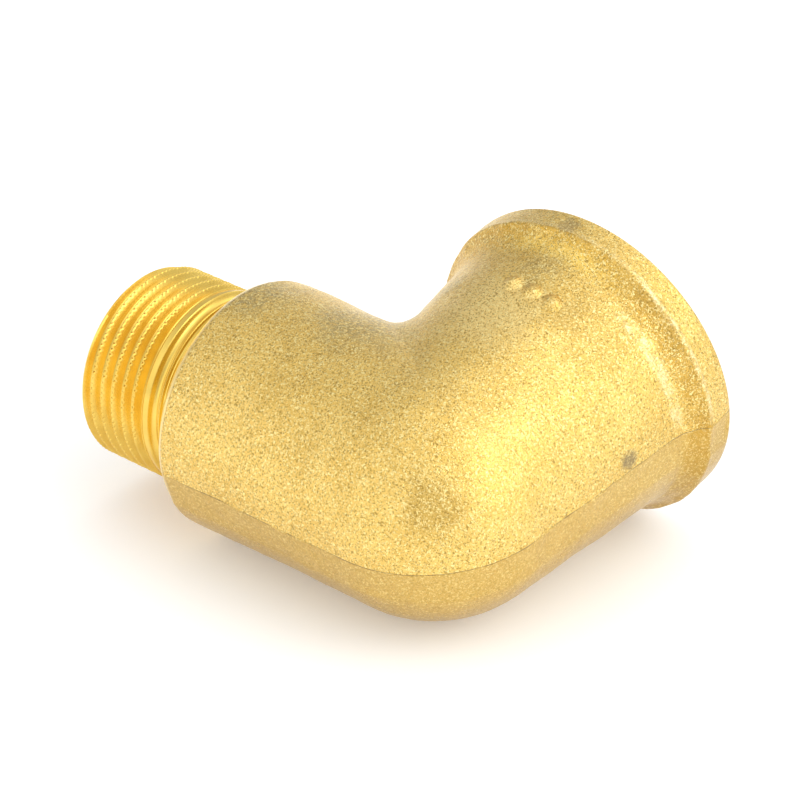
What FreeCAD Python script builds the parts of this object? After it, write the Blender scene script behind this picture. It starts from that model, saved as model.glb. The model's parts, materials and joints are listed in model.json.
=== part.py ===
"""Male by female 90 degree pipe elbow, hot-forged in brass and threaded at both ends.

The elbow is one forging, divided here into the zones that a machinist would name. The zones
meet face to face and never overlap, so together they are exactly the one piece of metal.

Frame: the origin is where the axes of the two arms cross. The male arm runs along -X, the
female arm runs along +Y, and the forging's parting plane is z = 0 with +Z up. Every arm zone
is revolved about its own X axis, with x as the distance from the elbow's centre, and is then
turned into place. Lengths are millimetres.
"""

import FreeCAD, Part
import os
import Sketcher
from FreeCAD import Placement, Rotation, Vector

# Driving dimensions: alias, value in millimetres (or degrees, or a count), what it is.
DRIVING = [
    # male end, an external G 3/4 parallel pipe thread
    ("male_length", 48.85, "elbow centre to the male end face"),
    ("shoulder", 32.07, "elbow centre to the forged shoulder of the male arm"),
    ("male_major", 13.22, "radius over the male thread's crests"),
    ("male_pitch", 1.814, "14 threads per inch"),
    ("male_depth", 1.162, "depth of the male thread"),
    ("male_chamfer", 0.9, "lead-in chamfer on the male end"),
    ("male_first_groove", 1.5, "end face to the middle of the first groove"),
    ("male_grooves", 7, "grooves on the male end"),
    ("relief_length", 2.53, "length of the undercut between the thread and the shoulder"),
    ("relief_radius", 12.0, "radius of the undercut"),
    # female end, an internal G 1 parallel pipe thread
    ("female_length", 32.0, "elbow centre to the female end face"),
    ("female_minor", 15.146, "radius inside the female thread's crests"),
    ("female_pitch", 2.309, "11 threads per inch"),
    ("female_depth", 1.479, "depth of the female thread"),
    ("female_first_groove", 2.0, "end face to the middle of the first groove"),
    ("female_grooves", 4, "grooves in the female end"),
    ("female_seat", 17.1, "radius where the threaded zone meets the socket wall"),
    ("female_chamfer", 1.4, "lead-in chamfer of the female thread"),
    # forged outside
    ("male_barrel_start", 16.29, "male barrel radius at the elbow's centre"),
    ("male_barrel_end", 16.72, "male barrel radius at the shoulder"),
    ("shoulder_round", 1.2, "rounding of the male barrel's end edge"),
    ("female_barrel_start", 16.5, "female barrel radius at the elbow's centre"),
    ("female_barrel_end", 19.14, "female barrel radius where the flare starts"),
    ("flare_start", 24.56, "elbow centre to the start of the flare"),
    ("rim_start", 27.9, "elbow centre to the start of the rim"),
    ("rim_radius", 21.4, "radius of the rim"),
    ("rim_edge", 0.5, "chamfer on the rim's end edge"),
    ("corner_radius", 16.5, "radius of the round outer corner"),
    ("male_split", 22.0, "elbow centre to the male barrel's zone"),
    ("female_split", 20.0, "elbow centre to the female barrel's zone and the thread's floor"),
    # waterway
    ("male_bore", 9.5, "radius of the waterway in the male arm"),
    ("female_bore", 12.3, "radius of the waterway behind the female thread"),
    # raised relief beside the flare
    ("pip_base", 1.3, "radius of a raised pip at its foot"),
    ("pip_top", 0.95, "radius of a raised pip at its top"),
    ("pip_rise", 0.45, "height of a pip over the barrel"),
    ("pip_place", 19.4, "elbow centre to the row of pips, along the female arm"),
]

# Derived dimensions: alias, spreadsheet formula.
DERIVED = [
    ("male_barrel_split", "=male_barrel_start + (male_barrel_end - male_barrel_start)"
                          " * male_split / shoulder"),
    ("female_barrel_split", "=female_barrel_start + (female_barrel_end - female_barrel_start)"
                            " * female_split / flare_start"),
    ("pip_barrel", "=female_barrel_start + (female_barrel_end - female_barrel_start)"
                   " * pip_place / flare_start"),
    ("pip_foot", "=pip_barrel - 1"),
    ("pip_height", "=pip_rise + 1"),
    ("male_root", "=male_major - male_depth"),
    ("male_chamfer_x", "=male_length - male_chamfer"),
    ("male_chamfer_radius", "=male_major - male_chamfer"),
    ("relief_end", "=shoulder + relief_length"),
    ("female_major", "=female_minor + female_depth"),
    ("female_chamfer_x", "=female_length - female_chamfer"),
    ("female_chamfer_radius", "=female_minor + female_chamfer"),
    ("rim_edge_x", "=female_length - rim_edge"),
    ("rim_edge_radius", "=rim_radius - rim_edge"),
]

# Derived dimensions of each thread's groove: a V with a flat floor and flat crests, both a
# sixth of the pitch wide. The section runs on 1 mm past the crest, at the flanks' own slope.
GROOVE = [
    ("{end}_groove_x", "={end}_length - {end}_first_groove"),
    ("{end}_floor_half", "={end}_pitch / 12"),
    ("{end}_mouth_half", "={end}_pitch * 5 / 12"),
    ("{end}_past_half", "={end}_mouth_half + ({end}_mouth_half - {end}_floor_half) / {end}_depth"),
    ("{end}_floor_near", "={end}_groove_x - {end}_floor_half"),
    ("{end}_floor_far", "={end}_groove_x + {end}_floor_half"),
    ("{end}_past_near", "={end}_groove_x - {end}_past_half"),
    ("{end}_past_far", "={end}_groove_x + {end}_past_half"),
    ("{end}_grooves_reach", "={end}_pitch * ({end}_grooves - 1)"),
]
for end in ("male", "female"):
    DERIVED += [(alias.format(end=end), formula.format(end=end)) for alias, formula in GROOVE]
DERIVED += [
    ("male_past_radius", "=male_major + 1"),
    ("female_past_radius", "=female_minor - 1"),
]

PIP_ANGLES = (-4.0, 5.0, 14.0)  # degrees about the female axis, from +Z towards +X
TO_MALE = Placement(Vector(0, 0, 0), Rotation(Vector(0, 0, 1), 180))
TO_FEMALE = Placement(Vector(0, 0, 0), Rotation(Vector(0, 0, 1), 90))

doc = FreeCAD.newDocument("elbow")
sheet = doc.addObject("Spreadsheet::Sheet", "Sizes")
subparts = []


def fill_sheet():
    """Write the driving dimensions and the formulas that follow from them."""
    row = 1
    for alias, value, meaning in DRIVING:
        sheet.set(f"A{row}", alias)
        sheet.set(f"B{row}", str(value))
        sheet.set(f"C{row}", meaning)
        sheet.setAlias(f"B{row}", alias)
        row += 1
    for alias, formula in DERIVED:
        sheet.set(f"A{row}", alias)
        sheet.set(f"B{row}", formula)
        sheet.setAlias(f"B{row}", alias)
        row += 1
    doc.recompute()


def size(alias):
    """A dimension's present value from the sheet."""
    return float(sheet.get(alias))


def draw_outline(body, name, corners):
    """A closed sketch through corners, each an (x, radius) pair of sheet names."""
    sketch = body.newObject("Sketcher::SketchObject", name)
    plane = next(f for f in body.Origin.OriginFeatures if f.Role == "XY_Plane")
    sketch.AttachmentSupport = [(plane, "")]
    sketch.MapMode = "FlatFace"
    points = [Vector(size(x), size(r), 0) for x, r in corners]
    count = len(points)
    for i in range(count):
        sketch.addGeometry(Part.LineSegment(points[i], points[(i + 1) % count]), False)
    for i in range(count):
        sketch.addConstraint(Sketcher.Constraint("Coincident", i, 2, (i + 1) % count, 1))
    for i, (x, r) in enumerate(corners):
        for kind, alias in (("DistanceX", x), ("DistanceY", r)):
            index = sketch.addConstraint(Sketcher.Constraint(kind, -1, 1, i, 1, size(alias)))
            sketch.setExpression(f"Constraints[{index}]", f"Sizes.{alias}")
    return sketch


def revolve_zone(label, corners, placement):
    """A body of revolution about its X axis, listed as a sub-part."""
    body = doc.addObject("PartDesign::Body", label)
    body.Label = label
    sketch = draw_outline(body, f"{label}_outline", corners)
    turn = body.newObject("PartDesign::Revolution", f"{label}_turn")
    turn.Profile = sketch
    turn.ReferenceAxis = (sketch, ["H_Axis"])
    turn.Angle = 360
    body.Tip = turn
    body.Placement = placement
    doc.recompute()
    subparts.append(body)
    return body


def cut_grooves(body, end, floor_radius):
    """Cut the thread's groove once, then repeat it at the pitch towards the elbow's centre."""
    uncut = body.Shape.Volume
    sketch = draw_outline(
        body,
        f"{end}_groove_section",
        [
            (f"{end}_floor_near", floor_radius),
            (f"{end}_floor_far", floor_radius),
            (f"{end}_past_far", f"{end}_past_radius"),
            (f"{end}_past_near", f"{end}_past_radius"),
        ],
    )
    groove = body.newObject("PartDesign::Groove", f"{end}_groove")
    groove.Profile = sketch
    groove.ReferenceAxis = (sketch, ["H_Axis"])
    groove.Angle = 360
    body.Tip = groove
    doc.recompute()
    one_groove = uncut - body.Shape.Volume
    if one_groove <= 0:
        raise RuntimeError(f"{end} thread: the first groove cut nothing")
    pattern = body.newObject("PartDesign::LinearPattern", f"{end}_groove_pattern")
    pattern.Originals = [groove]
    pattern.Direction = (sketch, ["H_Axis"])
    pattern.Reversed = True
    pattern.setExpression("Length", f"Sizes.{end}_grooves_reach")
    pattern.setExpression("Occurrences", f"Sizes.{end}_grooves")
    body.Tip = pattern
    doc.recompute()
    if uncut - body.Shape.Volume < 0.9 * one_groove * size(f"{end}_grooves"):
        raise RuntimeError(f"{end} thread: the groove pattern cut too little")


def build_male_thread():
    """The turned spigot: chamfered end, thread ridges and undercut."""
    body = revolve_zone(
        "male_thread",
        [
            ("shoulder", "male_bore"),
            ("male_length", "male_bore"),
            ("male_length", "male_chamfer_radius"),
            ("male_chamfer_x", "male_major"),
            ("relief_end", "male_major"),
            ("relief_end", "relief_radius"),
            ("shoulder", "relief_radius"),
        ],
        TO_MALE,
    )
    cut_grooves(body, "male", "male_root")


def build_male_barrel():
    """The forged barrel behind the male thread, with its end edge rounded."""
    body = revolve_zone(
        "male_barrel",
        [
            ("male_split", "male_bore"),
            ("shoulder", "male_bore"),
            ("shoulder", "male_barrel_end"),
            ("male_split", "male_barrel_split"),
        ],
        TO_MALE,
    )
    turn = body.Tip
    edge = find_edge(turn.Shape, size("male_barrel_end"), size("shoulder"))
    rounding = body.newObject("PartDesign::Fillet", "male_barrel_round")
    rounding.Base = (turn, [f"Edge{edge}"])
    rounding.setExpression("Radius", "Sizes.shoulder_round")
    body.Tip = rounding
    doc.recompute()


def find_edge(shape, radius, place):
    """The number of the circular edge of this radius at this place along the arm."""
    for number, edge in enumerate(shape.Edges, start=1):
        curve = edge.Curve
        if curve.TypeId != "Part::GeomCircle":
            continue
        if abs(curve.Radius - radius) < 1e-4 and abs(abs(curve.Center.x) - place) < 1e-4:
            return number
    raise RuntimeError(f"no circular edge of radius {radius} at {place} along the arm")


def build_female_barrel():
    """The tapered barrel between the corner and the flare, and the seat of the threaded zone."""
    revolve_zone(
        "female_barrel",
        [
            ("female_split", "female_seat"),
            ("flare_start", "female_seat"),
            ("flare_start", "female_barrel_end"),
            ("female_split", "female_barrel_split"),
        ],
        TO_FEMALE,
    )


def build_female_collar():
    """The flare and the thick rim around the female end."""
    revolve_zone(
        "female_collar",
        [
            ("flare_start", "female_seat"),
            ("female_length", "female_seat"),
            ("female_length", "rim_edge_radius"),
            ("rim_edge_x", "rim_radius"),
            ("rim_start", "rim_radius"),
            ("flare_start", "female_barrel_end"),
        ],
        TO_FEMALE,
    )


def build_female_thread():
    """The tapped zone inside the socket: lead-in chamfer and thread ridges."""
    body = revolve_zone(
        "female_thread",
        [
            ("female_split", "female_minor"),
            ("female_chamfer_x", "female_minor"),
            ("female_length", "female_chamfer_radius"),
            ("female_length", "female_seat"),
            ("female_split", "female_seat"),
        ],
        TO_FEMALE,
    )
    cut_grooves(body, "female", "female_major")


def add_primitive(kind, name, placement, **sizes):
    """A Part primitive with each given size bound to the sheet."""
    solid = doc.addObject(kind, name)
    for prop, alias in sizes.items():
        solid.setExpression(prop, f"Sizes.{alias}")
    solid.Placement = placement
    return solid


def join(kind, name, base, tool):
    """A boolean of two objects: Part::Fuse, Part::Cut or Part::Common."""
    result = doc.addObject(kind, name)
    result.Base = base
    result.Tool = tool
    return result


def build_elbow_bend():
    """The round corner and the roots of both barrels, bored from each end to the centre."""
    along_male = Placement(Vector(0, 0, 0), Rotation(Vector(0, 1, 0), -90))
    along_female = Placement(Vector(0, 0, 0), Rotation(Vector(1, 0, 0), -90))
    corner = add_primitive("Part::Sphere", "corner", Placement(), Radius="corner_radius")
    male_root = add_primitive(
        "Part::Cone", "male_barrel_root", along_male,
        Radius1="male_barrel_start", Radius2="male_barrel_split", Height="male_split",
    )
    female_root = add_primitive(
        "Part::Cone", "female_barrel_root", along_female,
        Radius1="female_barrel_start", Radius2="female_barrel_split", Height="female_split",
    )
    arms = join("Part::Fuse", "barrel_roots", male_root, female_root)
    outside = join("Part::Fuse", "bend_outside", arms, corner)
    male_way = add_primitive(
        "Part::Cylinder", "male_waterway", along_male, Radius="male_bore", Height="male_split",
    )
    female_way = add_primitive(
        "Part::Cylinder", "female_waterway", along_female,
        Radius="female_bore", Height="female_split",
    )
    turning = add_primitive("Part::Sphere", "waterway_turn", Placement(), Radius="female_bore")
    ways = join("Part::Fuse", "both_ways", male_way, female_way)
    waterway = join("Part::Fuse", "waterway", ways, turning)
    bend = join("Part::Cut", "elbow_bend", outside, waterway)
    bend.Label = "elbow_bend"
    doc.recompute()
    subparts.append(bend)


def build_size_relief():
    """A row of small raised pips on the female barrel, one per radial direction."""
    pips = []
    for number, angle in enumerate(PIP_ANGLES, start=1):
        turn = Rotation(Vector(0, 1, 0), angle)
        pip = add_primitive(
            "Part::Cone", f"pip_{number}", Placement(),
            Radius1="pip_base", Radius2="pip_top", Height="pip_height",
        )
        outward = turn.multVec(Vector(0, 0, 1))
        pip.Placement = Placement(Vector(0, 0, 0), turn)
        pip.setExpression("Placement.Base.x", f"Sizes.pip_foot * {outward.x:.8f}")
        pip.setExpression("Placement.Base.y", "Sizes.pip_place")
        pip.setExpression("Placement.Base.z", f"Sizes.pip_foot * {outward.z:.8f}")
        pips.append(pip)
    pair = join("Part::Fuse", "pip_pair", pips[0], pips[1])
    row = join("Part::Fuse", "pip_row", pair, pips[2])
    barrel = add_primitive(
        "Part::Cone", "barrel_under_pips",
        Placement(Vector(0, 0, 0), Rotation(Vector(1, 0, 0), -90)),
        Radius1="female_barrel_start", Radius2="female_barrel_end", Height="flare_start",
    )
    relief = join("Part::Cut", "size_relief", row, barrel)
    relief.Label = "size_relief"
    doc.recompute()
    subparts.append(relief)


def check_and_export():
    """Stop on any failed object or bad shape, then write one STEP file for each zone."""
    doc.recompute()
    for obj in doc.Objects:
        if "Invalid" in obj.State or "Error" in obj.State:
            raise RuntimeError(f"{obj.Name} failed: {obj.State}")
    for obj in subparts:
        if obj.Shape.isNull() or not obj.Shape.isValid():
            raise RuntimeError(f"{obj.Label} has no valid shape")
    os.makedirs("parts", exist_ok=True)
    for obj in subparts:
        obj.Shape.exportStep(f"parts/{obj.Label}.step")
        box = obj.Shape.BoundBox
        print(
            f"{obj.Label}: {len(obj.Shape.Solids)} solid(s), {obj.Shape.Volume:.1f} mm3, "
            f"x {box.XMin:.2f}..{box.XMax:.2f}, y {box.YMin:.2f}..{box.YMax:.2f}, "
            f"z {box.ZMin:.2f}..{box.ZMax:.2f}"
        )


fill_sheet()
build_elbow_bend()
build_male_barrel()
build_male_thread()
build_female_barrel()
build_female_collar()
build_female_thread()
build_size_relief()
check_and_export()
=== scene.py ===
"""Looks of a hot-forged, sand-blasted brass elbow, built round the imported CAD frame.

Frame: the two arms' axes cross at the origin, the male arm runs along -X, the female arm along
+Y, and the forging's parting plane is z = 0. Shapes are worked out in millimetres and made in
metres. A place along an arm is its distance s from the crossing.
"""

import json
import math

import bmesh
import bpy
import numpy as np
from mathutils import Matrix, Vector


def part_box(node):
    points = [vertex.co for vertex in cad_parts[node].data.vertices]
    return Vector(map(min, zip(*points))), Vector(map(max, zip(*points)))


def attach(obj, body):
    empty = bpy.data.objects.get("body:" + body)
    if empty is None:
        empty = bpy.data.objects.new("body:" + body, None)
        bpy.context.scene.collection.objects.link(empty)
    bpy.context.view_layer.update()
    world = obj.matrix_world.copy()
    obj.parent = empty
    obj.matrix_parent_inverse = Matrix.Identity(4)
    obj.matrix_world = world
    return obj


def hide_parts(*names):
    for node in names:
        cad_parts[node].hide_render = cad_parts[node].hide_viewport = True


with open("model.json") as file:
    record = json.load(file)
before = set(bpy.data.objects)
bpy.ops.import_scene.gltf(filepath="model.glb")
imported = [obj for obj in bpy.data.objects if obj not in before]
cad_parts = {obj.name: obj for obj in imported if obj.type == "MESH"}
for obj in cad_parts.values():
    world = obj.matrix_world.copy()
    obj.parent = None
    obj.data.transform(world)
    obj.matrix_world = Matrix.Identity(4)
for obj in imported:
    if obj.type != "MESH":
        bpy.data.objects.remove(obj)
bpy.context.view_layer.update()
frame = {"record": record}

MM = 0.001


def box_mm(node):
    """A CAD node's lowest and highest corner in millimetres."""
    return [[c / MM for c in corner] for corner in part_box(node)]


def mount_radius(name):
    """The radius in millimetres of one of the record's mounts."""
    return next(m["dims"]["r_mm"] for m in frame["record"]["mounts"] if m["name"] == name)


# Sizes from the CAD frame, in millimetres.
MALE_END = -box_mm("male_thread")[0][0]
SHOULDER = -box_mm("male_barrel")[0][0]
MALE_SPLIT = -box_mm("elbow_bend")[0][0]
FEMALE_SPLIT = box_mm("elbow_bend")[1][1]
FLARE_START = box_mm("female_barrel")[1][1]
FEMALE_END = box_mm("female_collar")[1][1]
RIM_RADIUS = box_mm("female_collar")[1][0]
SEAT_RADIUS = box_mm("female_thread")[1][0]
MALE_CREST = mount_radius("male_thread")
FEMALE_CREST = mount_radius("female_thread")
MALE_BORE = mount_radius("waterway_male")
FEMALE_BORE = mount_radius("waterway_female")

# Forged outside.
CROSSING = 16.52                  # radius of both barrels at the crossing, and of the corner
MALE_BARREL = (16.29, 16.72)      # straight taper's radius at the crossing and at the shoulder
FEMALE_BARREL_END = 19.14         # radius at the flare
TAPER_START = 2.0                 # how gently the female taper sets in
CORNER_TURN = 1.07                # radius of the axis's own turn at the outer corner
INNER_BLEND = 3.2                 # how widely the two barrels run together at the inner corner
UPPER_DRAFT = math.radians(3)     # draft of the upper die beside the parting plane
LOWER_DRAFT = math.radians(9)     # draft of the lower die
STEP = 0.05                       # how far the lower die's half stands back

# The flare: a hollow between its foot and the rim's first edge.
FLARE_FOOT = 24.0
RIM_EDGE = 28.6                   # the rim's first edge, on the inner side
OUTER_SHIFT = 0.75                # how much nearer the bend that edge stands on the outer side
OUTER_ANGLES = (22, 75)           # from +X: all of that shift, none of it

# Hollows in the forging: place, radius and depth.
SPOT = (18.1, 15.4, 1.6)          # dark nick on the female barrel
PATCH = (-0.35, 29.7, 21.4)       # dull patch on the rim
DENTS = [
    ((4.0, -13.0, 8.0), 1.6, 0.05),
    (SPOT, 0.55, 0.10),
    (PATCH, 1.1, 0.14),
    ((-9.5, 3.2, 15.9), 2.2, 0.06),
]
VALLEY = ((6.6, -10.6, 11.4), (11.0, -11.2, 4.4), 2.3, 0.26)   # both ends, radius, depth

# Threads: pitch, and the place of crest 0 at angle 0. Profiles are (distance, height) points.
MALE_PITCH, MALE_CREST_PLACE = 1.814, 46.295
MALE_FLANK = [(0.0, 0.0), (0.05, 0.0), (0.10, 0.05), (0.60, 0.94), (0.76, 1.10), (0.907, 1.162)]
MALE_LEAD = 0.95                  # depth of the lead-in chamfer
LAST_CREST = 4.62                 # turns from crest 0 to the wide last crest
MALE_TAIL = [                     # (turns, radius) of the wide last crest, the groove and the ridge
    (4.60, 12.3), (4.84, 13.02), (4.91, 13.24), (4.94, 13.26), (4.98, 13.12), (5.44, 13.12),
    (5.47, 13.24), (5.52, 13.02), (5.72, 12.50), (5.90, 12.38), (6.10, 12.42), (6.38, 12.98),
    (6.45, 12.98), (6.55, 12.7), (6.90, 12.66), (7.00, 12.82), (7.10, 12.62),
]
RUN_OUT = (205, 345)              # angles over which each turn fades into the one before it
FEMALE_PITCH, FEMALE_CREST_PLACE = 2.309, 29.4
FEMALE_FLANK = [(0.0, 0.0), (0.16, 0.0), (0.24, 0.06), (0.84, 1.33), (1.0, 1.45), (1.155, 1.479)]
FEMALE_LEAD = 1.4
RELIEF_START, RELIEF_RADIUS = 34.6, 12.4
NOTCHES = 112                     # nicks round each crest, from the cut
NOTCH_DEPTHS = (0.08, 0.24)
NOTCHED_TURNS = 4.4               # turns from crest 0 that have nicks

# The pips beside the flare.
PIP_PLACE, PIP_ANGLES = 19.4, (-4.5, 5.0, 14.5)     # along the arm, and degrees from +Z towards +X
PIP_FOOT, PIP_RISE, PIP_SUNK = 1.45, 0.52, 0.6      # radius, height, depth below the skin

COLUMNS = 420                     # points round the forged skin
FAN_RINGS = 176                   # rings through the bend
SKIN_STEP = 0.3                   # between rings along the barrels


# ---------------------------------------------------------------- shapes of the forged skin

def wave_field(seed, shortest, longest, count=40):
    """A smooth random field with unit spread: plane waves between two wavelengths."""
    rng = np.random.default_rng(seed)
    aim = rng.normal(size=(count, 3))
    aim /= np.linalg.norm(aim, axis=1, keepdims=True)
    length = np.exp(rng.uniform(np.log(shortest), np.log(longest), count))
    waves = 2 * np.pi * aim / length[:, None]
    phases = rng.uniform(0, 2 * np.pi, count)

    def field(points):
        flat = points.reshape(-1, 3)
        total = np.zeros(len(flat))
        for wave, phase in zip(waves, phases):
            total += np.cos(flat @ wave + phase)
        return (total * math.sqrt(2 / count)).reshape(points.shape[:-1])

    return field


BROAD = wave_field(11, 7, 15)
MIDDLE = wave_field(12, 2.2, 4.5)
FINE = wave_field(13, 0.8, 1.5)
WANDER = wave_field(14, 4, 12, 24)


def smoothstep(low, high, value):
    """0 below low, 1 above high, smooth between."""
    t = np.clip((value - low) / (high - low), 0, 1)
    return t * t * (3 - 2 * t)


def male_radius(s):
    """Radius of the male barrel at s: a slight taper that meets the corner's radius."""
    near, far = MALE_BARREL
    return near + (far - near) * s / SHOULDER + (CROSSING - near) * (1 - smoothstep(0, 14, s))


def female_radius(s):
    """Radius of the female barrel at s: a taper that sets in gently from the corner."""
    growth = (FEMALE_BARREL_END - CROSSING) / (math.hypot(FLARE_START, TAPER_START) - TAPER_START)
    return CROSSING + growth * (np.hypot(s, TAPER_START) - TAPER_START)


def skin_value(p):
    """Below zero inside the barrels and the round corner, above zero outside."""
    x, y, z = p[..., 0], p[..., 1], p[..., 2]
    male = np.hypot(y, z) - male_radius(-x)
    female = np.hypot(x, z) - female_radius(y)
    turn = np.hypot(x + CORNER_TURN, y - CORNER_TURN) - CORNER_TURN
    corner = np.hypot(turn, z) - CROSSING
    inward = np.minimum(-x - CORNER_TURN, y - CORNER_TURN)
    blend = 0.01 + INNER_BLEND * smoothstep(2, 14, inward)
    overlap = np.maximum(blend - np.abs(male - female), 0) / blend
    both = np.minimum(male, female) - overlap ** 2 * blend / 4
    on_male, on_female = x <= -CORNER_TURN, y >= CORNER_TURN
    return np.select([on_male & on_female, on_male, on_female], [both, male, female], corner)


def waterway_value(p):
    """Below zero inside the two drilled ways and the round end between them."""
    x, y, z = p[..., 0], p[..., 1], p[..., 2]
    male = np.where(x <= 0, np.hypot(y, z) - MALE_BORE, 99.0)
    female = np.where(y >= 0, np.hypot(x, z) - FEMALE_BORE, 99.0)
    end = np.sqrt(x * x + y * y + z * z) - FEMALE_BORE
    return np.minimum(np.minimum(male, female), end)


def column_angles():
    """Angles round a ring, crowded where the parting plane crosses it."""
    crowding, width = 4, 0.035
    fine = np.linspace(0, 2 * np.pi, 20001)
    to_line = np.abs((fine + np.pi / 2) % np.pi - np.pi / 2)
    weight = 1 + crowding * np.exp(-(to_line / width) ** 2)
    reach = np.concatenate([[0], np.cumsum((weight[1:] + weight[:-1]) / 2)])
    return np.interp(np.arange(COLUMNS) / COLUMNS * reach[-1], reach, fine)


ANGLES = column_angles()
COS, SIN = np.cos(ANGLES), np.sin(ANGLES)


def fan_rings(value, count):
    """Rings through the bend, each in an upright plane turned about the inner corner's pivot.

    A ring's points are found by halving between its centre, inside, and a far point outside.
    """
    bulge, farthest, halvings = 6, 30.0, 34
    beta = np.linspace(0, np.pi / 2, count)[:, None]
    reach = FEMALE_SPLIT + (MALE_SPLIT - FEMALE_SPLIT) * beta * 2 / np.pi
    reach = reach + bulge * np.sin(2 * beta) ** 2
    out = np.stack([np.sin(beta), -np.cos(beta), np.zeros_like(beta)], axis=-1)
    centre = np.array([-MALE_SPLIT, FEMALE_SPLIT, 0.0]) + out * reach[..., None]
    aim = out * COS[None, :, None] + np.array([0, 0, 1.0]) * SIN[None, :, None]
    low, high = np.zeros(aim.shape[:2]), np.full(aim.shape[:2], farthest)
    for _ in range(halvings):
        middle = (low + high) / 2
        inside = value(centre + aim * middle[..., None]) < 0
        low, high = np.where(inside, middle, low), np.where(inside, high, middle)
    return centre + aim * low[..., None]


def male_rings(profile):
    """Rings round the male axis from (s, radius) pairs."""
    s, r = np.array(profile).T[:, :, None]
    return np.stack([-s + 0 * COS, -r * COS, r * SIN], axis=-1)


def female_rings(profile):
    """Rings round the female axis from (s, radius) pairs."""
    s, r = np.array(profile).T[:, :, None]
    return np.stack([r * COS, s + 0 * COS, r * SIN], axis=-1)


def resample(corners, step):
    """A polyline's points, evenly about step apart, with its corners kept."""
    points = [corners[0]]
    for (s0, r0), (s1, r1) in zip(corners, corners[1:]):
        count = max(1, round(math.hypot(s1 - s0, r1 - r0) / step))
        points += [(s0 + (s1 - s0) * k / count, r0 + (r1 - r0) * k / count)
                   for k in range(1, count + 1)]
    return points


def arc(centre, radius, start, stop, count):
    """Points of an arc in the (s, radius) plane; angles in degrees from +s towards +radius."""
    turn = [math.radians(start + (stop - start) * k / count) for k in range(count + 1)]
    return [(centre[0] + radius * math.cos(a), centre[1] + radius * math.sin(a)) for a in turn]


def grid_normals(grid):
    """Vertex normals of a grid of rings that is open at both ends, pointing out of the metal."""
    along = np.empty_like(grid)
    along[1:-1] = grid[2:] - grid[:-2]
    along[0], along[-1] = grid[1] - grid[0], grid[-1] - grid[-2]
    round_ring = np.roll(grid, -1, axis=1) - np.roll(grid, 1, axis=1)
    normal = np.cross(along, round_ring)
    return normal / np.maximum(np.linalg.norm(normal, axis=-1, keepdims=True), 1e-12)


def male_profile():
    """Outside of the male barrel from the shoulder's machined edge to the split."""
    rounding, set_back = 1.9, 1.92
    bow = arc((SHOULDER - set_back, MALE_BARREL[1] - rounding), rounding, 31, 88, 12)
    flat = resample([bow[-1], (MALE_SPLIT, male_radius(MALE_SPLIT))], SKIN_STEP)
    return bow + flat[1:]


def female_profile():
    """Outside of the female barrel, the hollow flare, the rim and its end edge.

    The hollow is an arc that leaves the barrel in line and meets the rim's rounded edge in line.
    """
    start = (FEMALE_SPLIT, female_radius(FEMALE_SPLIT))
    foot = (FLARE_FOOT, female_radius(FLARE_FOOT))
    taper = math.atan((foot[1] - start[1]) / (foot[0] - start[0]))
    steep, edge, end_rounding = math.radians(48), 0.6, 0.55
    crown = RIM_RADIUS - edge
    hollow = (crown + edge * math.cos(steep) - foot[1]) / (math.cos(taper) - math.cos(steep))
    centre = (foot[0] - hollow * math.sin(taper), foot[1] + hollow * math.cos(taper))
    rim_start = centre[0] + (hollow + edge) * math.sin(steep)
    flare = arc(centre, hollow, math.degrees(taper) - 90, math.degrees(steep) - 90, 24)
    rim = arc((rim_start, crown), edge, 90 + math.degrees(steep), 90, 8)
    end_edge = arc((FEMALE_END - end_rounding, crown), end_rounding, 88, 0, 7)
    barrel = resample([start, foot], SKIN_STEP)
    band = resample([rim[-1], end_edge[0]], SKIN_STEP)
    return barrel + flare[1:] + rim[1:] + band[1:] + end_edge[1:]


def outer_side(p, full, none):
    """1 on the female arm's outer side, fading between two angles from +X."""
    angle = np.degrees(np.arctan2(p[..., 2], p[..., 0]))
    return 1 - smoothstep(full, none, np.abs(angle))


def flare_wander(grid):
    """Shift the flare and the rim's first edge along the arm, most on the outer side."""
    y = grid[..., 1]
    share = smoothstep(FLARE_FOOT, 26.5, y) * (1 - smoothstep(29.0, 31.0, y))
    shift = -OUTER_SHIFT * outer_side(grid, *OUTER_ANGLES) + 0.12 * WANDER(grid)
    moved = grid.copy()
    moved[..., 1] += share * shift
    return moved


def dent(p, centre, radius, depth):
    """A shallow hollow of a given radius and depth."""
    away = np.linalg.norm(p - np.array(centre), axis=-1)
    return -depth * np.exp(-(away / radius) ** 2)


def furrow(p, start, end, radius, depth):
    """A long shallow hollow between two places."""
    start, along = np.array(start), np.array(end) - np.array(start)
    share = np.clip((p - start) @ along / (along @ along), 0, 1)
    away = np.linalg.norm(p - start - share[..., None] * along, axis=-1)
    return -depth * np.exp(-(away / radius) ** 2)


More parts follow.
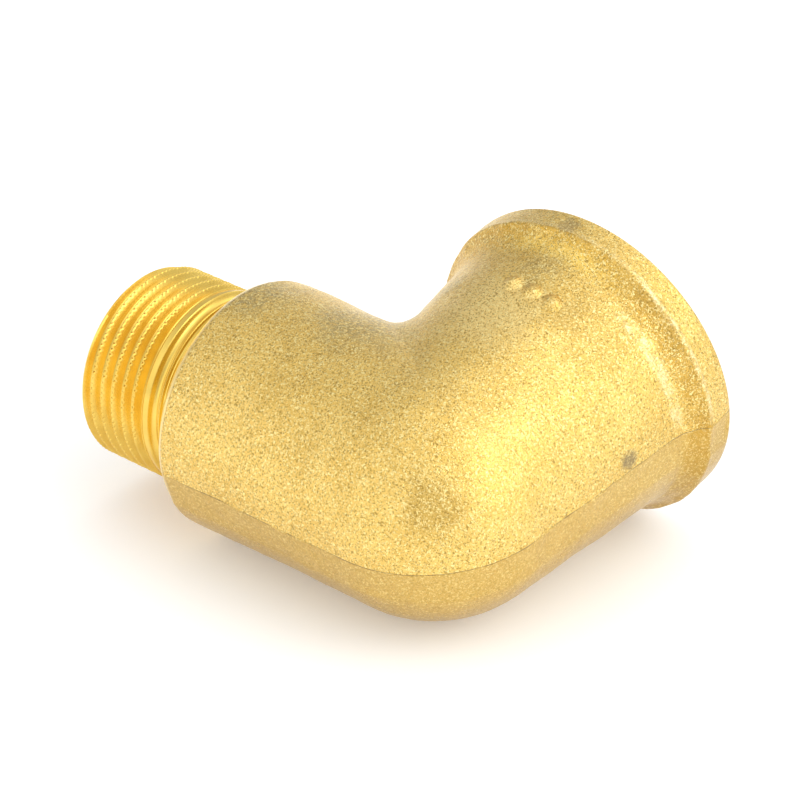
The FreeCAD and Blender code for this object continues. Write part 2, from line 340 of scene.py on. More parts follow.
def forged_offset(p):
    """How far the forged skin stands off its plain shape: die wear, parting line and dents."""
    z = p[..., 2] - 0.05 * WANDER(p * 1.3)
    in_flare = smoothstep(24.5, 26.0, p[..., 1]) * (1 - smoothstep(27.6, 28.6, p[..., 1]))
    offset = 0.045 * BROAD(p) + 0.010 * MIDDLE(p) + (0.004 + 0.006 * in_flare) * FINE(p)
    draft = np.where(z > 0, math.tan(UPPER_DRAFT), math.tan(LOWER_DRAFT))
    offset -= np.maximum(0, np.abs(z) * draft - z * z / (2 * CROSSING))
    offset -= STEP * smoothstep(0.04, -0.08, z) * np.exp(-np.maximum(-z, 0) / 5)
    # The parting line: a low ridge with a sharp furrow under it.
    offset += 0.02 * np.exp(-((z - 0.10) / 0.10) ** 2) * (0.8 + 0.5 * MIDDLE(p + 7))
    offset -= 0.09 * np.exp(-((z + 0.05) / 0.08) ** 2) * (0.8 + 0.4 * MIDDLE(p + 7))
    # Soft beads along the flare's foot and the rim's first edge, on the outer side.
    outer = outer_side(p, 30, 75)
    foot_bead = FLARE_FOOT + 0.1 + 0.15 * WANDER(p)
    edge_bead = RIM_EDGE - OUTER_SHIFT * outer_side(p, *OUTER_ANGLES)
    offset += 0.07 * outer * np.exp(-((p[..., 1] - foot_bead) / 0.5) ** 2)
    offset += 0.06 * outer * np.exp(-((p[..., 1] - edge_bead) / 0.35) ** 2)
    offset += furrow(p, *VALLEY)
    for centre, radius, depth in DENTS:
        offset += dent(p, centre, radius, depth)
    return offset


def forged_skin():
    """The whole forged outside as one grid of rings, with the ring numbers where zones meet."""
    male = male_rings(male_profile())
    fan = fan_rings(skin_value, FAN_RINGS)
    profile = female_profile()
    female = flare_wander(female_rings(profile))
    plain = np.concatenate([male, fan[1:-1], female])
    normal = grid_normals(plain)
    turned = smoothstep(FEMALE_END - 1.0, FEMALE_END - 0.3, plain[..., 1])
    turned = np.maximum(turned, smoothstep(SHOULDER - 1.0, SHOULDER - 0.35, -plain[..., 0]))
    grid = plain + normal * (forged_offset(plain) * (1 - turned))[..., None]
    first = len(male) - 1
    second = first + FAN_RINGS - 1
    places = [s for s, _ in profile]
    third = second + min(range(len(places)), key=lambda k: abs(places[k] - FLARE_START))
    return grid, grid_normals(grid), (first, second, third)


# ---------------------------------------------------------------- mesh making

def finish_piece(mesh, name, materials, node):
    """Link the mesh as a piece that rides on the root body and stands for a CAD node."""
    for material in materials:
        mesh.materials.append(material)
    piece = bpy.data.objects.new(name, mesh)
    bpy.context.scene.collection.objects.link(piece)
    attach(piece, "root")
    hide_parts(node)


def quads_between(first, second):
    """Four corner numbers of each quad between two rings of vertex numbers."""
    return np.stack([first, second, np.roll(second, -1), np.roll(first, -1)], axis=-1)


def ring_solid(name, strips, materials, node):
    """A closed ring-shaped solid. A strip is (rings, normals or None, material number).

    Each strip begins on the ring where the one before it ends, and the last ends on the first
    ring of all. A strip without normals is shaded flat.
    """
    columns = strips[0][0].shape[1]
    points, faces, shades, numbers = [], [], [], []
    total = sum(len(rings) - 1 for rings, _, _ in strips)
    place = 0
    for rings, normals, number in strips:
        points.append(rings[:-1].reshape(-1, 3))
        for k in range(len(rings) - 1):
            here = np.arange(columns) + place % total * columns
            there = np.arange(columns) + (place + 1) % total * columns
            faces.append(quads_between(here, there))
            if normals is None:
                side = np.cross(rings[k + 1] - rings[k], np.roll(rings[k], -1, axis=0) - rings[k])
                side /= np.maximum(np.linalg.norm(side, axis=1, keepdims=True), 1e-12)
                shades.append(np.stack([side] * 4, axis=1))
            else:
                a, b = normals[k], normals[k + 1]
                next_a, next_b = np.roll(a, -1, axis=0), np.roll(b, -1, axis=0)
                shades.append(np.stack([a, b, next_b, next_a], axis=1))
            numbers += [number] * columns
            place += 1
    mesh = bpy.data.meshes.new(name)
    mesh.from_pydata((np.concatenate(points) * MM).tolist(), [], np.concatenate(faces).tolist())
    mesh.polygons.foreach_set("material_index", numbers)
    mesh.polygons.foreach_set("use_smooth", [True] * len(numbers))
    mesh.normals_split_custom_set(np.concatenate(shades).reshape(-1, 3).tolist())
    finish_piece(mesh, name, materials, node)


def thread_grid(radius, span, crest_place, pitch, fractions, columns, place):
    """Vertices and quads of a helical surface, trimmed square at both ends of its span.

    Rows follow the helix, so crests and roots run along edges. Rows past an end lie on it. The
    last column joins the first one a whole turn further on.
    """
    per_turn = len(fractions)
    low = math.floor((crest_place - span[1]) / pitch) - 1
    high = math.ceil((crest_place - span[0]) / pitch) + 2
    turns = np.concatenate([np.array(fractions) + k for k in range(low, high)])
    theta = np.arange(columns) / columns * 2 * np.pi
    s = crest_place - pitch * turns[:, None] + pitch * theta[None, :] / (2 * np.pi)
    s = np.clip(s, *span)
    grid = place(s, radius(s, theta[None, :]), theta[None, :])
    number = np.arange(len(turns) * columns).reshape(len(turns), columns)
    sides = [(number[:, c], number[:, c + 1]) for c in range(columns - 1)]
    sides.append((number[per_turn:, -1], number[:-per_turn, 0]))
    quads = [np.stack([a[:-1], a[1:], b[1:], b[:-1]], axis=1) for a, b in sides]
    return grid.reshape(-1, 3), np.concatenate(quads)


def lathe_strip(profile, columns, place):
    """Vertices and quads of a surface of revolution from (s, radius) pairs."""
    theta = np.arange(columns)[None, :] / columns * 2 * np.pi
    s, r = np.array(profile).T[:, :, None]
    grid = place(s + 0 * theta, r + 0 * theta, theta)
    number = np.arange(len(profile) * columns).reshape(len(profile), columns)
    quads = [quads_between(number[k], number[k + 1]) for k in range(len(profile) - 1)]
    return grid.reshape(-1, 3), np.concatenate(quads)


def thread_solid(name, parts, sharp_degrees, materials, node):
    """Join helical and turned surfaces that share their end rings into one closed solid."""
    weld, sliver = 2e-7, 1e-8     # metres
    points, faces, count = [], [], 0
    for vertices, quads in parts:
        points.append(vertices)
        faces.append(quads + count)
        count += len(vertices)
    mesh = bpy.data.meshes.new(name)
    mesh.from_pydata((np.concatenate(points) * MM).tolist(), [], np.concatenate(faces).tolist())
    work = bmesh.new()
    work.from_mesh(mesh)
    bmesh.ops.remove_doubles(work, verts=work.verts, dist=weld)
    bmesh.ops.dissolve_degenerate(work, edges=work.edges, dist=sliver)
    bmesh.ops.recalc_face_normals(work, faces=work.faces)
    work.to_mesh(mesh)
    work.free()
    mesh.polygons.foreach_set("use_smooth", [True] * len(mesh.polygons))
    mesh.set_sharp_from_angle(angle=math.radians(sharp_degrees))
    finish_piece(mesh, name, materials, node)


def place_male(s, r, theta):
    """A point at s, radius and angle on the male arm; the angle runs from -Y towards +Z."""
    return np.stack([-s, -r * np.cos(theta), r * np.sin(theta)], axis=-1)


def place_female(s, r, theta):
    """A point at s, radius and angle on the female arm; the angle runs from +Z towards +X."""
    return np.stack([r * np.sin(theta), s, r * np.cos(theta)], axis=-1)


# ---------------------------------------------------------------- pieces

def build_forging(skin, normals, zones, blasted, machined):
    """The four forged zones, cut from one skin so that it runs on from piece to piece."""
    first, second, third = zones
    waterway = fan_rings(waterway_value, 36)
    waterway_normals = -grid_normals(waterway)
    bend_skin = skin[first:second + 1]
    ring_solid("forged_bend", [
        (bend_skin, normals[first:second + 1], 0),
        (np.stack([bend_skin[-1], waterway[-1]]), None, 1),
        (waterway[::-1], waterway_normals[::-1], 1),
        (np.stack([waterway[0], bend_skin[0]]), None, 1),
    ], (blasted, machined), "elbow_bend")

    barrel = skin[:first + 1]
    bore = male_rings([(MALE_SPLIT, MALE_BORE), (SHOULDER, MALE_BORE)])
    # The shoulder's turned face stands proud, with a small groove between it and the edge.
    lip = male_rings([(SHOULDER, 15.52), (SHOULDER - 0.05, 15.60), (SHOULDER - 0.26, 15.60),
                      (SHOULDER - 0.31, 15.48)])
    ring_solid("forged_male_barrel", [
        (barrel, normals[:first + 1], 0),
        (np.stack([barrel[-1], bore[0]]), None, 1),
        (bore, None, 1),
        (np.stack([bore[1], lip[0]]), None, 1),
        (np.concatenate([lip, barrel[:1]]), None, 1),
    ], (blasted, machined), "male_barrel")

    tube = skin[second:third + 1]
    seat = female_rings([(tube[-1, 0, 1], SEAT_RADIUS), (FEMALE_SPLIT, SEAT_RADIUS)])
    ring_solid("forged_female_barrel", [
        (tube, normals[second:third + 1], 0),
        (np.stack([tube[-1], seat[0]]), None, 1),
        (seat, None, 1),
        (np.stack([seat[1], tube[0]]), None, 1),
    ], (blasted, machined), "female_barrel")

    collar = skin[third:]
    face = female_rings([(FEMALE_END, SEAT_RADIUS), (collar[0, 0, 1], SEAT_RADIUS)])
    ring_solid("forged_collar", [
        (collar, normals[third:], 0),
        (np.stack([collar[-1], face[0]]), None, 1),
        (face, None, 1),
        (np.stack([face[1], collar[0]]), None, 1),
    ], (blasted, machined), "female_collar")


def follow(points, value):
    """Height at a distance along a profile of (distance, height) points."""
    distances, heights = zip(*points)
    return np.interp(value, distances, heights)


def male_turn_shape(turn):
    """Radius of the male thread, by turns from crest 0: plain crests, then the tail."""
    away = np.abs(turn - np.round(turn)) * MALE_PITCH
    crests = MALE_CREST - follow(MALE_FLANK, away)
    return np.where(turn > LAST_CREST, follow(MALE_TAIL, turn), crests)


def male_thread_radius(s, theta):
    """The male thread's surface: the helix with notched crests, the lead-in and the relief."""
    turn = (MALE_CREST_PLACE - s) / MALE_PITCH + theta / (2 * np.pi)
    run_out = smoothstep(math.radians(RUN_OUT[0]), math.radians(RUN_OUT[1]), theta)
    shape = male_turn_shape(turn) * (1 - run_out) + male_turn_shape(turn - 1) * run_out
    spacing = 2 * np.pi / NOTCHES
    nearest = np.round(theta / spacing)
    across = np.abs(theta / spacing - nearest) * spacing * MALE_CREST
    depths = np.random.default_rng(5).uniform(*NOTCH_DEPTHS, NOTCHES)
    deep = depths[(nearest % NOTCHES).astype(int)]
    notch = MALE_CREST - deep * (1 - smoothstep(0.02, 0.14, across))
    shape = np.where(turn < NOTCHED_TURNS, np.minimum(shape, notch), shape)
    chamfer = MALE_CREST - MALE_LEAD + (MALE_END - s)
    ramp_length, steepness, open_air = 0.35, 1.6, 99
    ramp = np.maximum(0, s - RELIEF_START + ramp_length) * steepness
    relief = np.where(s < RELIEF_START, RELIEF_RADIUS + ramp, open_air)
    return np.minimum(np.minimum(shape, chamfer), relief)


def build_male_thread(machined):
    """The threaded spigot: helix, end face and bore."""
    columns = 5 * NOTCHES
    fractions = (-0.36, -0.25, -0.16, -0.10, -0.07, -0.045, -0.02, 0.0, 0.03, 0.055, 0.10, 0.16,
                 0.25, 0.36, 0.43, 0.46, 0.49, 0.55)      # rows across one turn
    bevel = 0.4
    helix = thread_grid(male_thread_radius, (SHOULDER, MALE_END), MALE_CREST_PLACE, MALE_PITCH,
                        fractions, columns, place_male)
    inside = lathe_strip([(MALE_END, MALE_CREST - MALE_LEAD), (MALE_END, MALE_BORE + bevel),
                          (MALE_END - bevel, MALE_BORE), (SHOULDER, MALE_BORE),
                          (SHOULDER, RELIEF_RADIUS)], columns, place_male)
    thread_solid("cut_male_thread", [helix, inside], 34, (machined,),
                 "male_thread")


def female_thread_radius(s, theta):
    """The female thread's surface: rounded crests and roots, lead-in chamfer, plain run-out."""
    turn = (FEMALE_CREST_PLACE - s) / FEMALE_PITCH + theta / (2 * np.pi)
    away = np.abs(turn - np.round(turn)) * FEMALE_PITCH
    run_out = smoothstep(FEMALE_SPLIT + 0.6, FEMALE_SPLIT + 1.8, s)
    rise = follow(FEMALE_FLANK, away) * run_out
    chamfer = FEMALE_CREST + (s - FEMALE_END + FEMALE_LEAD)
    return np.maximum(FEMALE_CREST + rise, chamfer)


def build_female_thread(machined):
    """The tapped zone of the socket."""
    columns = 360
    fractions = (-0.35, -0.22, -0.12, -0.07, 0.0, 0.07, 0.12, 0.22, 0.35, 0.43, 0.50, 0.57)
    helix = thread_grid(female_thread_radius, (FEMALE_SPLIT, FEMALE_END), FEMALE_CREST_PLACE,
                        FEMALE_PITCH, fractions, columns, place_female)
    outside = lathe_strip([(FEMALE_END, FEMALE_CREST + FEMALE_LEAD), (FEMALE_END, SEAT_RADIUS),
                           (FEMALE_SPLIT, SEAT_RADIUS), (FEMALE_SPLIT, FEMALE_CREST)],
                          columns, place_female)
    thread_solid("cut_female_thread", [helix, outside], 40, (machined,),
                 "female_thread")


def pip_point(number, share, height, a):
    """A point of a pip: share of the way to its foot, at height over the skin, at angle a."""
    turn = math.radians(PIP_ANGLES[number])
    out = np.array([math.sin(turn), 0, math.cos(turn)])
    side = np.array([math.cos(turn), 0, -math.sin(turn)])
    along = np.array([0, 1.0, 0])
    wobble = 1 + 0.05 * math.sin(2 * a + number) + 0.03 * math.sin(3 * a + 2 * number)
    flat = PIP_FOOT * share * wobble * (side * math.cos(a) + along * math.sin(a))
    s = PIP_PLACE + flat[1]
    radius = float(female_radius(s))
    across = flat @ side
    up = math.sqrt(radius * radius - across * across)
    point = out * up + side * across + along * s
    outward = point * np.array([1, 0, 1])
    outward = outward / np.linalg.norm(outward)
    forged = float(forged_offset(point[None])[0]) + 0.02 * float(MIDDLE(point[None] * 1.7)[0])
    return point + outward * (height + forged)


def build_pips(blasted):
    """Three plain raised pips on the female barrel, standing where the size mark was."""
    rings, around = 16, 48
    shares = [k / rings for k in range(1, rings + 1)]
    layers = [(share, PIP_RISE * (1 - smoothstep(0.15, 1.0, share))) for share in shares[:-1]]
    layers += [(1.0, -0.04), (1.0, -PIP_SUNK)]
    points, faces = [], []
    for number in range(len(PIP_ANGLES)):
        base = len(points)
        points += [pip_point(number, share, height, 2 * math.pi * k / around)
                   for share, height in layers for k in range(around)]
        for row in range(len(layers) - 1):
            for k in range(around):
                a, b = base + row * around + k, base + row * around + (k + 1) % around
                faces.append((a, a + around, b + around, b))
        faces.append(tuple(base + k for k in range(around)))
        faces.append(tuple(base + (len(layers) - 1) * around + k for k in reversed(range(around))))
    mesh = bpy.data.meshes.new("size_pips")
    mesh.from_pydata((np.array(points) * MM).tolist(), [], faces)
    work = bmesh.new()
    work.from_mesh(mesh)
    bmesh.ops.recalc_face_normals(work, faces=work.faces)
    work.to_mesh(mesh)
    work.free()
    mesh.polygons.foreach_set("use_smooth", [True] * len(mesh.polygons))
    mesh.set_sharp_from_angle(angle=math.radians(60))
    finish_piece(mesh, "size_pips", (blasted,), "size_relief")


# ---------------------------------------------------------------- materials

class Nodes:
    """Adds nodes to a material and links them in one call each."""

    def __init__(self, name):
        self.material = bpy.data.materials.new(name)
        self.material.use_nodes = True
        self.tree = self.material.node_tree
        self.shader = self.tree.nodes["Principled BSDF"]
        self.place = self.add("ShaderNodeTexCoord").outputs["Object"]

    def add(self, kind, settings=(), **inputs):
        """Add a node. An input is given by name, or as i and its number."""
        node = self.tree.nodes.new(kind)
        for key, value in dict(settings).items():
            setattr(node, key, value)
        for key, value in inputs.items():
            socket = node.inputs[int(key[1:]) if key[1:].isdigit() else key.replace("_", " ")]
            if isinstance(value, bpy.types.NodeSocket):
                self.tree.links.new(value, socket)
            else:
                socket.default_value = value
        return node

    def noise(self, size_mm, detail=2.0, rough=0.5, distortion=0.0, vector=None):
        """Noise with features about size_mm across."""
        return self.add("ShaderNodeTexNoise", Vector=vector or self.place, Scale=1 / (size_mm * MM),
                        Detail=detail, Roughness=rough, Distortion=distortion).outputs["Fac"]

    def ramp(self, value, low, high, bottom=0.0, top=1.0):
        """Map low..high to bottom..top, smoothly, and hold it outside."""
        return self.add("ShaderNodeMapRange", {"interpolation_type": "SMOOTHSTEP"}, Value=value,
                        i1=low, i2=high, i3=bottom, i4=top).outputs[0]

    def math(self, operation, first, second=0.0):
        """The result of a Math node on two values."""
        return self.add("ShaderNodeMath", {"operation": operation}, i0=first, i1=second).outputs[0]

    def product(self, first, *others):
        """All the values multiplied."""
        for other in others:
            first = self.math("MULTIPLY", first, other)
        return first

    def ramp_mm(self, value, low, high, bottom=0.0, top=1.0):
        """A ramp along a length given in mm."""
        return self.ramp(value, low * MM, high * MM, bottom, top)

    def mix(self, share, first, second):
        """Mix of two colours."""
        return self.add("ShaderNodeMix", {"data_type": "RGBA"},
                        i0=share, i6=first, i7=second).outputs[2]

    def near(self, centre, radius, ragged):
        """1 inside a blob round a place in mm, 0 outside; the ragged noise moves its edge."""
        swing, outside, inside = 1.6, 1.25, 0.45
        offset = self.add("ShaderNodeVectorMath", {"operation": "DISTANCE"}, i0=self.place,
                          i1=[c * MM for c in centre]).outputs["Value"]
        wobble = self.product(self.math("SUBTRACT", ragged, 0.5), radius * swing * MM)
        return self.ramp_mm(self.math("ADD", offset, wobble), radius * outside, radius * inside)

    def bump(self, height, distance_mm):
        """Bump with a real height in mm."""
        return self.add("ShaderNodeBump", Height=height, Distance=distance_mm * MM,
                        Strength=1.0).outputs["Normal"]

    def set(self, **inputs):
        """Link or set the shader's own inputs."""
        for key, value in inputs.items():
            socket = self.shader.inputs[key.replace("_", " ")]
            if isinstance(value, bpy.types.NodeSocket):
                self.tree.links.new(value, socket)
            else:
                socket.default_value = value


class ForgedNodes(Nodes):
    """Nodes with the fields that the forging's colour and relief share."""

    def __init__(self, name):
        super().__init__(name)
        self.grain = self.noise(0.27, detail=2.0, rough=0.6, distortion=0.9)
        self.pits = self.noise(0.24, detail=2.0, distortion=0.9)
        self.cloud = self.noise(1.6, detail=4.0, rough=0.6)
        self.stain = self.noise(2.6, detail=4.0, rough=0.65)
        axes = self.add("ShaderNodeSeparateXYZ", Vector=self.place).outputs
        self.x, self.y, self.z = axes["X"], axes["Y"], axes["Z"]
        wander = self.product(self.math("SUBTRACT", self.noise(6.0), 0.5), 0.25 * MM)
        self.over_line = self.math("ADD", self.z, wander)
        self.upper = self.ramp_mm(self.over_line, -0.25, 0.05)


# Painted light and shade on the forging: place in mm, radius in mm, share and colour.
LIGHT_SHADE_PATCHES = [
    ((-1.0, 14.5, 17.5), 7.0, 0.75, (0.98, 0.73, 0.28, 1)),     # painted light, behind the pips
    ((11.0, 20.8, 15.2), 6.0, 0.60, (0.62, 0.41, 0.11, 1)),     # painted shade, before the flare
    ((9.0, -10.6, 8.6), 4.0, 0.75, (0.60, 0.39, 0.095, 1)),     # painted shade in the valley at the corner
]

# Dull oxide bloom: place in mm, radius in mm and share.
BLOOMS = [
    ((-15.0, 6.0, 15.5), 7.0, 1.0),
    ((-13.5, 14.5, 8.0), 6.0, 1.0),
    ((-30.0, 3.0, 16.0), 6.0, 1.0),
    ((-10.0, 18.0, 14.5), 2.5, 1.0),
    ((0.5, 23.0, 19.2), 3.2, 0.7),
]


def tint_body_and_lower_shade(n):
    """The brass's slow drift and darker clouds, with painted shade on the lower half below the
    parting line.
    """
    drift = n.noise(5.0, detail=3.0)
    colour = n.mix(n.ramp(drift, 0.35, 0.65), (0.80, 0.53, 0.135, 1), (0.88, 0.60, 0.165, 1))
    colour = n.mix(n.ramp(n.cloud, 0.52, 0.75, 0, 0.35), colour, (0.66, 0.44, 0.12, 1))
    # Painted shade on the lower half, below the parting line.
    return n.mix(n.ramp(n.upper, 0, 1, 0.75, 0), colour, (0.60, 0.40, 0.115, 1))


def paint_flare_light_shade(n, colour):
    """The flare's hollow in painted light and shade: brown on the outer side, golden on top, orange
    behind and, as painted shade, in the crease near the rim's first edge.
    """
    top, outer, back = (1.0, 0.68, 0.15, 1), (0.60, 0.355, 0.065, 1), (0.74, 0.45, 0.075, 1)
    painted_light_shade = n.mix(n.ramp_mm(n.x, 3.0, 13.0), top, outer)
    painted_light_shade = n.mix(n.ramp_mm(n.x, -9.0, -2.0), back, painted_light_shade)
    # Painted shade across the hollow between the flare's foot and the rim's first edge.
    hollow = n.product(n.ramp_mm(n.y, 24.6, 26.0), n.ramp_mm(n.y, 28.4, 27.4))
    colour = n.mix(n.product(hollow, n.ramp(n.cloud, 0.35, 0.6, 0.55, 0.95)), colour, painted_light_shade)
    # Painted shade in a crease that the shape itself doesn't have.
    fold_shade = n.product(n.ramp_mm(n.y, 26.5, 27.5), n.ramp_mm(n.y, 28.6, 28.2))
    fold_shade = n.product(fold_shade, n.ramp_mm(n.x, 12.0, 4.0), n.ramp(n.cloud, 0.35, 0.6, 0.3, 0.75))
    return n.mix(fold_shade, colour, (0.60, 0.34, 0.05, 1))


def shade_patches_and_bloom(n, colour):
    """Painted shade on the underside and the lower rim, painted light and shade in patches, and the
    dull oxide bloom.
    """
    # Painted shade, darker towards the underside.
    colour = n.mix(n.ramp_mm(n.z, -3.0, -13.0, 0, 0.5), colour, (0.40, 0.26, 0.07, 1))
    # Painted shade on the lower side of the rim.
    low_rim_shade = n.product(n.ramp_mm(n.z, 0.0, -6.0), n.ramp_mm(n.y, 23.5, 27.0), 0.55)
    colour = n.mix(low_rim_shade, colour, (0.50, 0.31, 0.075, 1))
    # Painted light and painted shade in patches.
    for place, radius, share, painted_light_shade in LIGHT_SHADE_PATCHES:
        colour = n.mix(n.product(n.near(place, radius, n.stain), share), colour, painted_light_shade)
    bloom = 0.0
    for place, radius, share in BLOOMS:
        bloom = n.math("MAXIMUM", bloom, n.product(n.near(place, radius, n.stain), share))
    mottle = n.ramp(n.noise(0.55, detail=3.0, rough=0.7), 0.38, 0.62, 0.15, 0.95)
    return n.mix(n.product(bloom, mottle), colour, (0.46, 0.355, 0.155, 1))


def paint_flare_highlights(n, colour):
    """Painted highlights along the flare's foot and the rim's first edge, on the upper side."""
    inner, outer, foot_place = 28.65 * MM, 27.9 * MM, 24.1 * MM
    rim_place = n.ramp_mm(n.x, 5.4, 19.5, inner, outer)
    from_rim = n.math("ABSOLUTE", n.math("SUBTRACT", n.y, rim_place))
    from_foot = n.math("ABSOLUTE", n.math("SUBTRACT", n.y, foot_place))
    outward = n.ramp_mm(n.x, 9.0, 14.0)
    rim = n.product(n.ramp_mm(from_rim, 0.5, 0.15), n.ramp(outward, 0, 1, 0.4, 1.0))
    foot = n.product(n.ramp_mm(from_foot, 1.1, 0.3, 0, 0.9), outward)
    # Painted highlight, on the upper side only, broken up by cloud and grain.
    highlight_share = n.product(n.math("MAXIMUM", rim, foot), n.ramp_mm(n.z, 0.5, 3.0),
                     n.ramp(n.cloud, 0.38, 0.58, 0.15, 0.80),
                     n.ramp(n.grain, 0.42, 0.56, 0.4, 1.0))
    return n.mix(highlight_share, colour, (1.0, 0.88, 0.50, 1))


def blasted_brass():
    """Sand-blasted forged brass: grain, colour drift, oxide bloom and a few marks, with painted
    glints, highlights and shade.
    """
    n = ForgedNodes("blasted_brass")
    colour = shade_patches_and_bloom(n, paint_flare_light_shade(n, tint_body_and_lower_shade(n)))

    # Grain specks, weaker on the lower half and round the main highlight at the corner: bright
    # specks are painted glints, dark specks painted shade in the pits.
    highlight_damping = n.ramp(n.near((12.8, -1.5, 10.2), 8.0, n.stain), 0, 1, 1.0, 0.8)
    sharp = n.product(n.ramp(n.upper, 0, 1, 0.55, 1.0), highlight_damping)
    pit_shade = n.product(n.ramp(n.pits, 0.50, 0.38, 0, 0.9), sharp)
    grain_glints = n.product(n.ramp(n.grain, 0.52, 0.64, 0, 0.95), sharp)
    colour = n.mix(pit_shade, colour, (0.40, 0.255, 0.06, 1))
    colour = n.mix(grain_glints, colour, (1.0, 0.83, 0.36, 1))
    # Painted highlights along the flare's edges.
    colour = paint_flare_highlights(n, colour)

    # Painted shade along the parting line's furrow, the dark nick and the dull patch on the rim.
    line = n.product(n.ramp_mm(n.math("ABSOLUTE", n.over_line), 0.16, 0.04),
                     n.ramp(n.cloud, 0.3, 0.6, 0.45, 0.85))
    spot = n.near(SPOT, 1.4, n.noise(1.1, detail=5.0, rough=0.7))
    patch = n.near(PATCH, 1.5, n.noise(0.7, detail=2.0))
    marks = n.math("MAXIMUM", n.product(spot, 0.75), n.product(patch, 0.5))
    marks = n.product(marks, n.ramp(n.grain, 0.62, 0.45, 0.65, 1.0))
    # Painted shade along the parting line.
    colour = n.mix(line, colour, (0.26, 0.17, 0.07, 1))
    colour = n.mix(marks, colour, (0.22, 0.18, 0.12, 1))

    # The shoulder's edge is turned, so it is paler and nearly smooth.
    turned = n.ramp_mm(n.x, 1.40 - SHOULDER, 1.25 - SHOULDER)
    colour = n.mix(turned, colour, (0.93, 0.72, 0.30, 1))
    rough = n.math("ADD", n.ramp(n.cloud, 0.3, 0.7, 0.27, 0.33), n.product(marks, 0.2))
    grit = n.math("ADD", n.grain, n.product(n.pits, 0.6))
    height = n.product(grit, sharp, n.ramp(turned, 0, 1, 1.0, 0.15))
    n.set(Base_Color=colour, Metallic=1.0, Roughness=rough, Normal=n.bump(height, 0.10))
    return n.material


def machined_brass():
    """Turned brass: bright, with fine tool marks round the male axis and slight colour drift."""
    n = Nodes("machined_brass")
    streak = n.add("ShaderNodeMapping", Vector=n.place, Scale=(9.0, 1.0, 1.0)).outputs[0]
    marks = n.noise(0.35, detail=3.0, rough=0.5, vector=streak)
    drift = n.noise(3.0, detail=2.0)
    colour = n.mix(n.ramp(drift, 0.35, 0.65), (0.83, 0.56, 0.115, 1), (0.88, 0.62, 0.14, 1))
    rough = n.ramp(marks, 0.3, 0.7, 0.22, 0.27)
    n.set(Base_Color=colour, Metallic=1.0, Roughness=rough, Normal=n.bump(marks, 0.0012))
    return n.material


def floor_paint():
    """Matt white acrylic with the faintest mottle, which gives off a little light itself."""
    n = Nodes("floor_white")
    colour = n.mix(n.noise(40.0), (0.94, 0.94, 0.94, 1), (0.96, 0.96, 0.96, 1))
    n.set(Base_Color=colour, Roughness=0.9, Emission_Color=(1, 1, 1, 1), Emission_Strength=0.18)
    return n.material


# ---------------------------------------------------------------- floor, camera and light

FLOOR_TILT = math.radians(9.3)    # lean of the lying elbow's parting plane from the floor
FLOOR_UP = np.array([0, math.sin(FLOOR_TILT), math.cos(FLOOR_TILT)])
FLOOR_BACK = np.array([0, math.cos(FLOOR_TILT), -math.sin(FLOOR_TILT)])


def direction(azimuth, elevation):
    """Unit vector towards a place seen from the object; angles in degrees, over the floor."""
    a, e = math.radians(azimuth), math.radians(elevation)
    flat = math.sin(a) * np.array([1, 0, 0]) - math.cos(a) * FLOOR_BACK
    return flat * math.cos(e) + FLOOR_UP * math.sin(e)


def look(obj, back, up):
    """Turn an object so that its -Z points away from back, with up upwards."""
    back, up = Vector(back).normalized(), Vector(up)
    right = up.cross(back).normalized()
    obj.matrix_world = Matrix.Translation(obj.location) @ Matrix(
        (right, back.cross(right), back)).transposed().to_4x4()


def build_floor(skin):
    """A white floor at the level of the part's lowest point."""
    level = float((skin @ FLOOR_UP).min())
    half, count = 3000.0, 24
    steps = np.linspace(-half, half, count + 1)
    points = [FLOOR_UP * level + np.array([1.0, 0, 0]) * a + FLOOR_BACK * b
              for a in steps for b in steps]
    row = count + 1
    corners = [i * row + j for i in range(count) for j in range(count)]
    faces = [(c, c + row, c + row + 1, c + 1) for c in corners]
    mesh = bpy.data.meshes.new("floor")
    mesh.from_pydata((np.array(points) * MM).tolist(), [], faces)
    mesh.materials.append(floor_paint())
    floor = bpy.data.objects.new("floor", mesh)
    bpy.context.scene.collection.objects.link(floor)


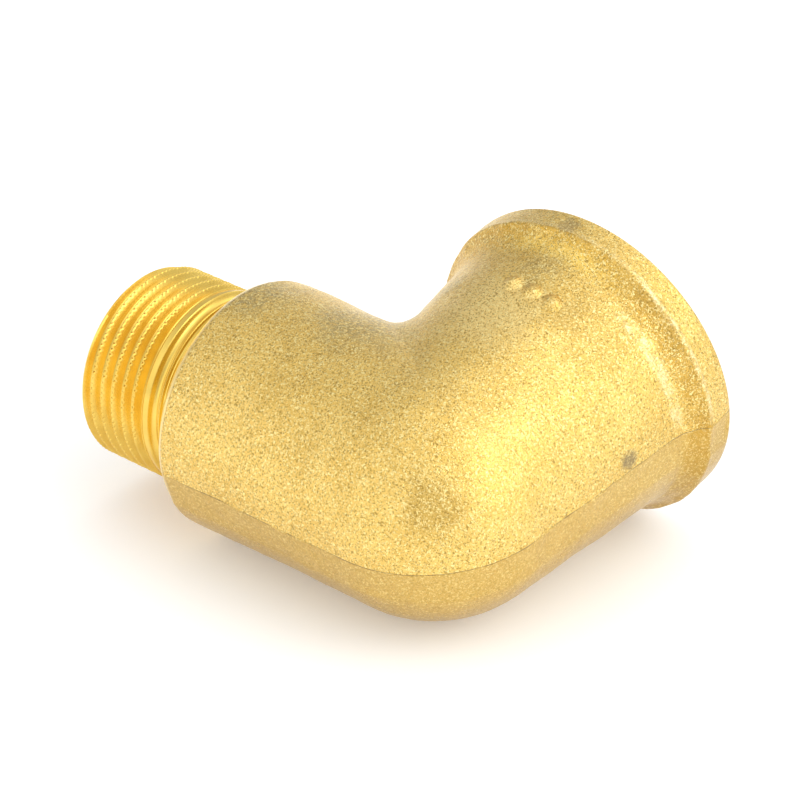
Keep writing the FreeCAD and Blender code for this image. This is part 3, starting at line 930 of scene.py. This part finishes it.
def build_camera():
    """The camera at the viewing angle: level with the floor, a long lens."""
    data = bpy.data.cameras.new("camera")
    data.sensor_width, data.lens = 36.0, 143.37
    data.clip_start, data.clip_end = 0.01, 20.0
    camera = bpy.data.objects.new("camera", data)
    bpy.context.scene.collection.objects.link(camera)
    azimuth, elevation, distance = 40.3, 31.0, 404.2
    target = np.array([-15.04, 10.98, 0.0])
    back = direction(azimuth, elevation)
    camera.location = (target + back * distance) * MM
    look(camera, back, FLOOR_UP)
    bpy.context.scene.camera = camera


# The white tent's brighter parts: azimuth, elevation, sharpness, strength.
GLOWS = [
    (90, 50, 8, 0.7),             # right, high
    (110, 42, 20, 2.1),           # the key, right and behind
    (90, 10, 10, 1.6),            # right, low
    (325, 30, 8, 0.7),            # front left
    (0, 10, 10, 0.7),             # front, low
    (180, 30, 10, 1.1),           # behind
    (0, 88, 6, 0.5),              # overhead
]
TENT = 0.6                        # strength of the tent between them


def build_surround(glows, tent):
    """A white tent with soft glows, made in the world's own nodes."""
    world = bpy.data.worlds.new("surround")
    world.use_nodes = True
    nodes, links = world.node_tree.nodes, world.node_tree.links
    aim = nodes.new("ShaderNodeTexCoord").outputs["Generated"]
    total = None
    for azimuth, elevation, sharpness, strength in glows:
        dot = nodes.new("ShaderNodeVectorMath")
        dot.operation = "DOT_PRODUCT"
        dot.inputs[1].default_value = direction(azimuth, elevation)
        links.new(aim, dot.inputs[0])
        facing = nodes.new("ShaderNodeMath")
        facing.operation, facing.inputs[1].default_value = "MAXIMUM", 0.0
        links.new(dot.outputs["Value"], facing.inputs[0])
        lobe = nodes.new("ShaderNodeMath")
        lobe.operation, lobe.inputs[1].default_value = "POWER", sharpness
        links.new(facing.outputs[0], lobe.inputs[0])
        add = nodes.new("ShaderNodeMath")
        add.operation, add.inputs[1].default_value = "MULTIPLY_ADD", strength
        links.new(lobe.outputs[0], add.inputs[0])
        if total is None:
            add.inputs[2].default_value = tent
        else:
            links.new(total, add.inputs[2])
        total = add.outputs[0]
    nodes["Background"].inputs["Color"].default_value = (1, 1, 1, 1)
    links.new(total, nodes["Background"].inputs["Strength"])
    bpy.context.scene.world = world


blasted, machined = blasted_brass(), machined_brass()
skin, skin_normals, zones = forged_skin()
build_forging(skin, skin_normals, zones, blasted, machined)
build_male_thread(machined)
build_female_thread(machined)
build_pips(blasted)
build_floor(skin)
build_camera()
build_surround(GLOWS, TENT)
bpy.context.scene.view_settings.view_transform = "Standard"
